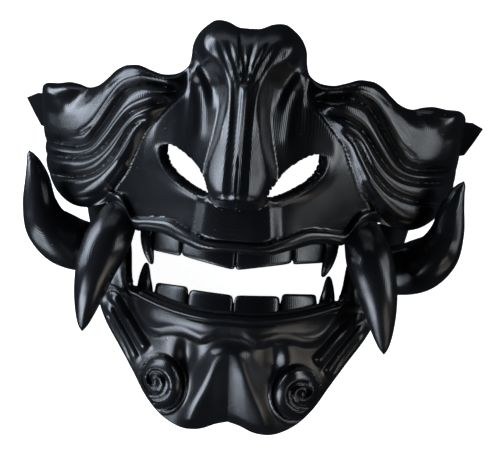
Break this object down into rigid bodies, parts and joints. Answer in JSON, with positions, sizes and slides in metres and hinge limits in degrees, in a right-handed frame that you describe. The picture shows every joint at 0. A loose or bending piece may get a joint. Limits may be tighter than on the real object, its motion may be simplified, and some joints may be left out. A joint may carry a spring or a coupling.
{
  "type": "half mask",
  "caption": "Hollow half mask with a demon's face: broad nose, lobed crest, swept flame locks, open mouth with teeth, curved tusks and a folded jaw.",
  "frame": {"origin": "centre of the mask's bounding box, on the floor that the back rim rests on", "axes": "+X across the face, +Y up the face towards the crest, +Z out of the face towards the viewer"},
  "size_m": [0.2048, 0.1712, 0.0981],
  "materials": {
    "shell_black": "glossy black print with fine layer lines",
    "jaw_black": "glossy black print with fine layer lines",
    "tusk_black": "glossy black print with fine layer lines",
    "tooth_black": "glossy black print with fine layer lines",
    "tab_black": "glossy black print with fine layer lines"
  },
  "bodies": {
    "root": {"face_shell": "shell_black", "jaw_shell": "jaw_black", "front_tusk_left": "tusk_black", "front_tusk_right": "tusk_black", "outer_tusk_left": "tusk_black", "outer_tusk_right": "tusk_black", "upper_teeth": "tooth_black", "lower_teeth": "tooth_black", "upper_fang_left": "tooth_black", "upper_fang_right": "tooth_black", "lower_fang_left": "tooth_black", "lower_fang_right": "tooth_black", "strap_tab_left": "tab_black", "strap_tab_right": "tab_black"}
  },
  "joints": []
}
